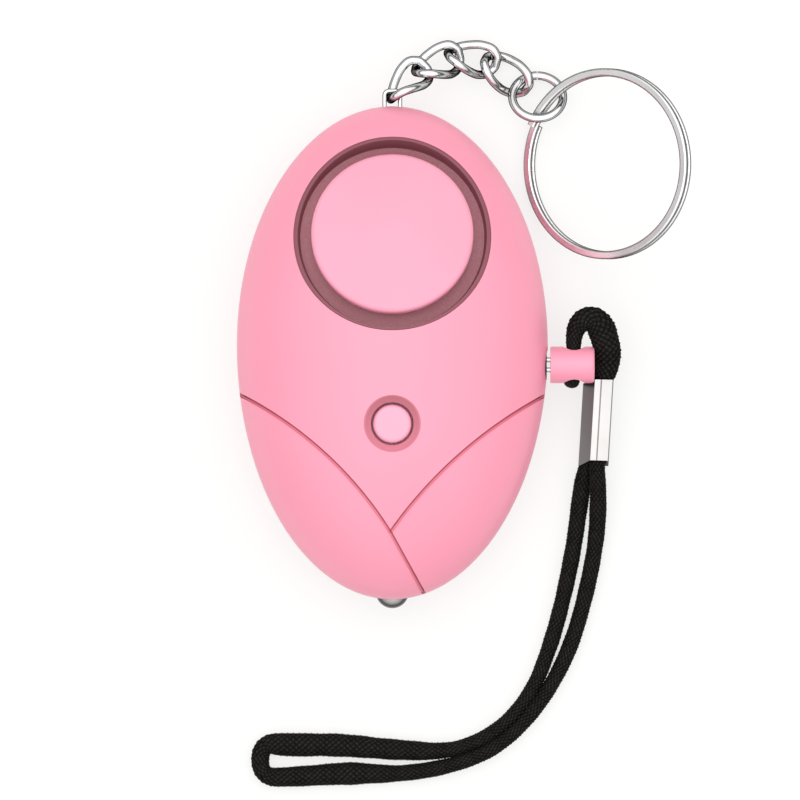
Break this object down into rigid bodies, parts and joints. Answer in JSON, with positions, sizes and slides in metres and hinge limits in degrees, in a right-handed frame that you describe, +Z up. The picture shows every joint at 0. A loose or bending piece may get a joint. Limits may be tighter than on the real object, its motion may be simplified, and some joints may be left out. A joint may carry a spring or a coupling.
{
  "type": "personal safety alarm",
  "caption": "Egg-shaped personal safety alarm with siren disc, light button, end lamp, key ring on a curb chain and pull pin on a wrist strap.",
  "frame": {"origin": "on the flat that the case rests on, under the case's widest section, on its lengthwise centre plane", "axes": "+Z up out of the front with its siren disc, +Y to the key ring end, +X to the pull pin"},
  "size_m": [0.0583, 0.096, 0.0195],
  "materials": {
    "case": "satin light pink",
    "cap": "satin light pink",
    "button": "satin light pink",
    "insert": "matte mauve brown",
    "lens": "clear",
    "bezel": "dark grey",
    "link_metal": "bright plated wire",
    "ring_metal": "bright plated flat wire",
    "ferrule_metal": "bright crimped sheet",
    "strap": "fine black braid",
    "grip": "satin light pink",
    "prong_metal": "drawn wire",
    "socket": "black",
    "screw_metal": "zinc plated",
    "board": "green board",
    "component": "black",
    "winding": "copper wire",
    "plunger": "black",
    "contact_metal": "nickel strip",
    "cell": "plain",
    "tray": "black",
    "sounder_brass": "plain",
    "ceramic": "silvered ceramic",
    "gasket": "plain",
    "lead_wire": "red insulation"
  },
  "bodies": {
    "case": {"battery_tray": "tray", "button_cells": "cell", "case_screws": "screw_metal", "cell_link_high": "contact_metal", "cell_link_low": "contact_metal", "chain_staple": "link_metal", "circuit_board": "board", "contact_negative": "contact_metal", "contact_positive": "contact_metal", "control_chip": "component", "front_shell": "case", "inductor_core": "component", "inductor_winding": "winding", "lamp_bezel": "bezel", "lamp_legs": "contact_metal", "lamp_lens": "lens", "piezo_ceramic": "ceramic", "piezo_disc": "sounder_brass", "piezo_gasket": "gasket", "pin_socket": "socket", "rear_shell": "case", "siren_cap": "cap", "siren_transistor": "component", "sound_insert": "insert", "sounder_leads": "lead_wire", "switch_leaves": "contact_metal", "tact_switch": "component"},
    "button": {"button_cap": "button", "switch_plunger": "plunger"},
    "pull_pin": {"pin_grip": "grip", "pin_prongs": "prong_metal", "crimp_ferrule": "ferrule_metal", "wrist_cord": "strap"},
    "chain_link_1": {"chain_link_1": "link_metal"},
    "chain_link_2": {"chain_link_2": "link_metal"},
    "chain_link_3": {"chain_link_3": "link_metal"},
    "chain_link_4": {"chain_link_4": "link_metal"},
    "jump_ring": {"jump_ring": "link_metal"},
    "split_ring": {"split_ring": "ring_metal"}
  },
  "joints": [
    {"name": "button_press", "type": "slide", "parent": "case", "child": "button", "axis": [0, 0, -1], "range_m": [0, 0.0004], "stiffness_N_per_m": 1500},
    {"name": "pin_pull", "type": "slide", "parent": "case", "child": "pull_pin", "axis": [1, 0, 0], "range_m": [0, 0.012]},
    {"name": "link_1_swing", "type": "hinge", "parent": "case", "child": "chain_link_1", "pos_m": [0.00055, 0.0318, 0.00813], "axis": [0, 0, 1], "range_deg": [-1, 20]},
    {"name": "link_2_swing", "type": "hinge", "parent": "chain_link_1", "child": "chain_link_2", "pos_m": [0.0044, 0.03442, 0.00673], "axis": [0, 0, 1], "range_deg": [-1, 15]},
    {"name": "link_3_swing", "type": "hinge", "parent": "chain_link_2", "child": "chain_link_3", "pos_m": [0.00752, 0.03805, 0.00362], "axis": [0, 0, 1], "range_deg": [-1, 8]},
    {"name": "link_4_swing", "type": "hinge", "parent": "chain_link_3", "child": "chain_link_4", "pos_m": [0.01316, 0.03706, 0.00163], "axis": [0, 0, 1], "range_deg": [-1, 15]},
    {"name": "jump_ring_swing", "type": "hinge", "parent": "chain_link_4", "child": "jump_ring", "pos_m": [0.017, 0.03369, 0.00149], "axis": [0, 0, 1], "range_deg": [-2, 10]},
    {"name": "split_ring_turn", "type": "hinge", "parent": "jump_ring", "child": "split_ring", "pos_m": [0.02755, 0.02332, 0.00754], "axis": [-0.515, 0, 0.8572], "range_deg": [-15, 45]}
  ]
}
